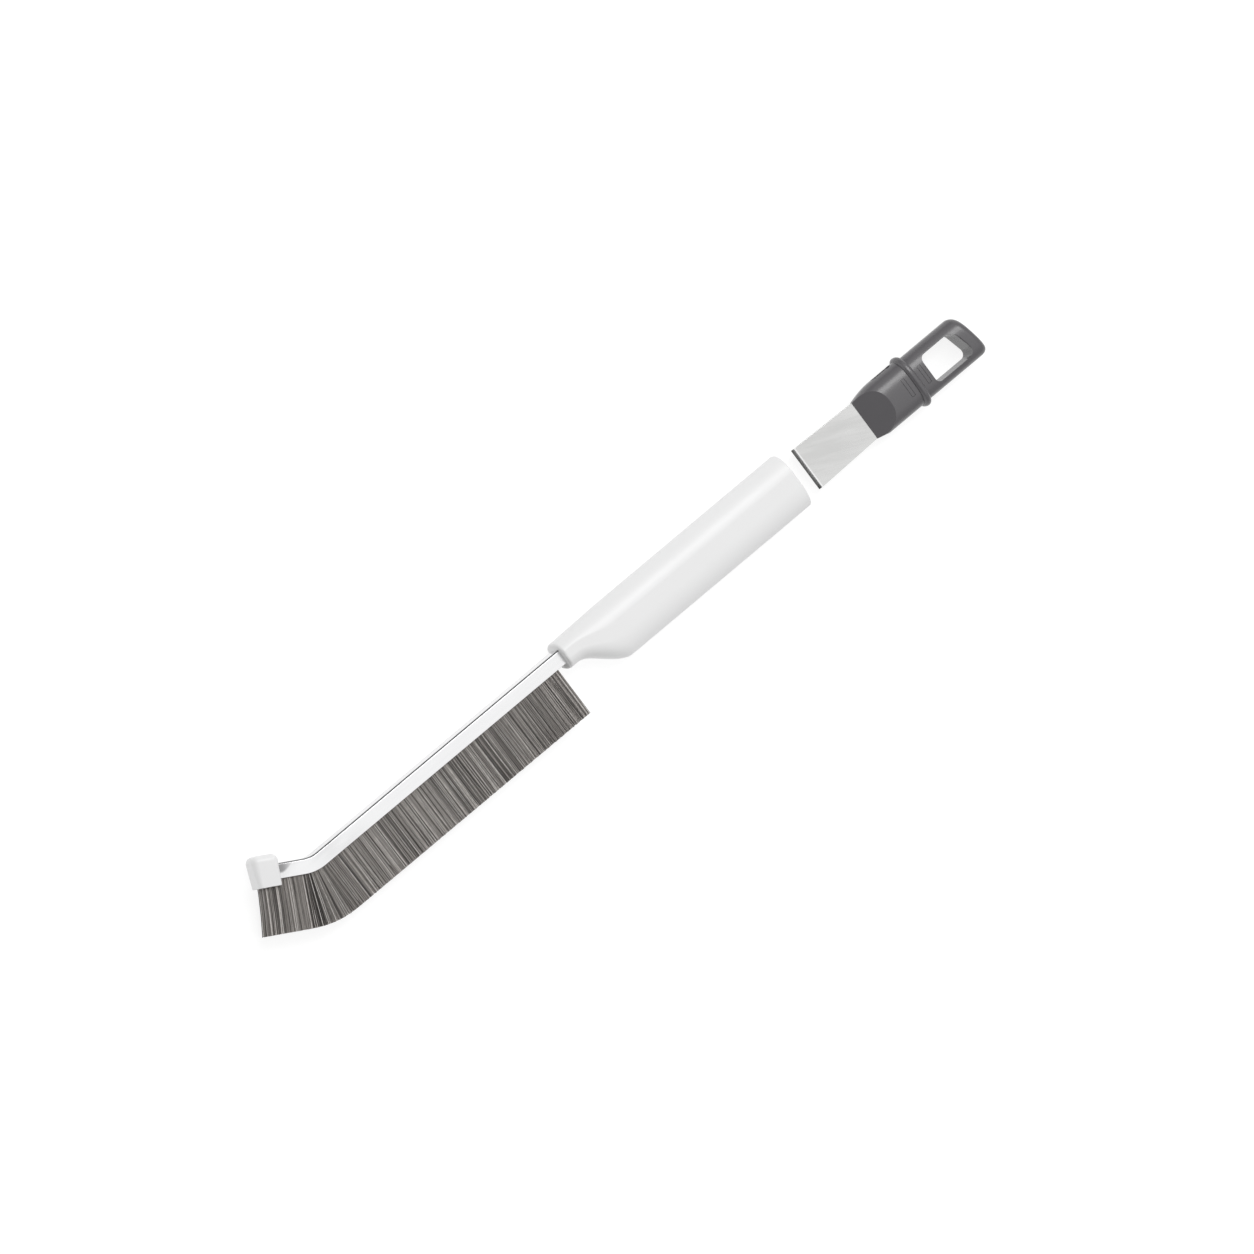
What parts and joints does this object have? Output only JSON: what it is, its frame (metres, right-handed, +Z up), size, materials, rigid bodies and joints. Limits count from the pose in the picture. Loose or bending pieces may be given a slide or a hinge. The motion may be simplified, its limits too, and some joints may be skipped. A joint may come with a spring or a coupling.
{
  "type": "crevice brush with stored scraper",
  "caption": "Narrow crevice brush: bristles in a bent metal strip with a tip cap, a hollow oval handle, and a scraper with a hanging loop that stores in the handle.",
  "frame": {"origin": "on the flat of the handle's lower face, on the handle's centre line, 60 mm from the butt", "axes": "+X along the handle towards its open butt and the scraper's loop, -Y the way the bristles point, +Z up from the surface that the brush lies on"},
  "size_m": [0.4027, 0.0438, 0.016],
  "materials": {
    "white_plastic": "semi-gloss white moulded plastic",
    "strip_metal": "bright rolled and plated sheet",
    "wire_metal": "drawn wire",
    "bristle_fibre": "brown-grey stiff synthetic filament",
    "blade_steel": "ground steel with fine slanting scratches",
    "dark_plastic": "satin dark grey moulded plastic"
  },
  "bodies": {
    "brush": {"handle": "white_plastic", "brush_channel": "strip_metal", "core_wire": "wire_metal", "bristles": "bristle_fibre", "bristles_tip": "bristle_fibre", "tip_cap": "white_plastic"},
    "scraper": {"scraper_blade": "blade_steel", "scraper_holder": "dark_plastic"}
  },
  "joints": [
    {"name": "scraper_slide", "type": "slide", "parent": "brush", "child": "scraper", "axis": [1, 0, 0], "range_m": [-0.0654, 0]}
  ]
}
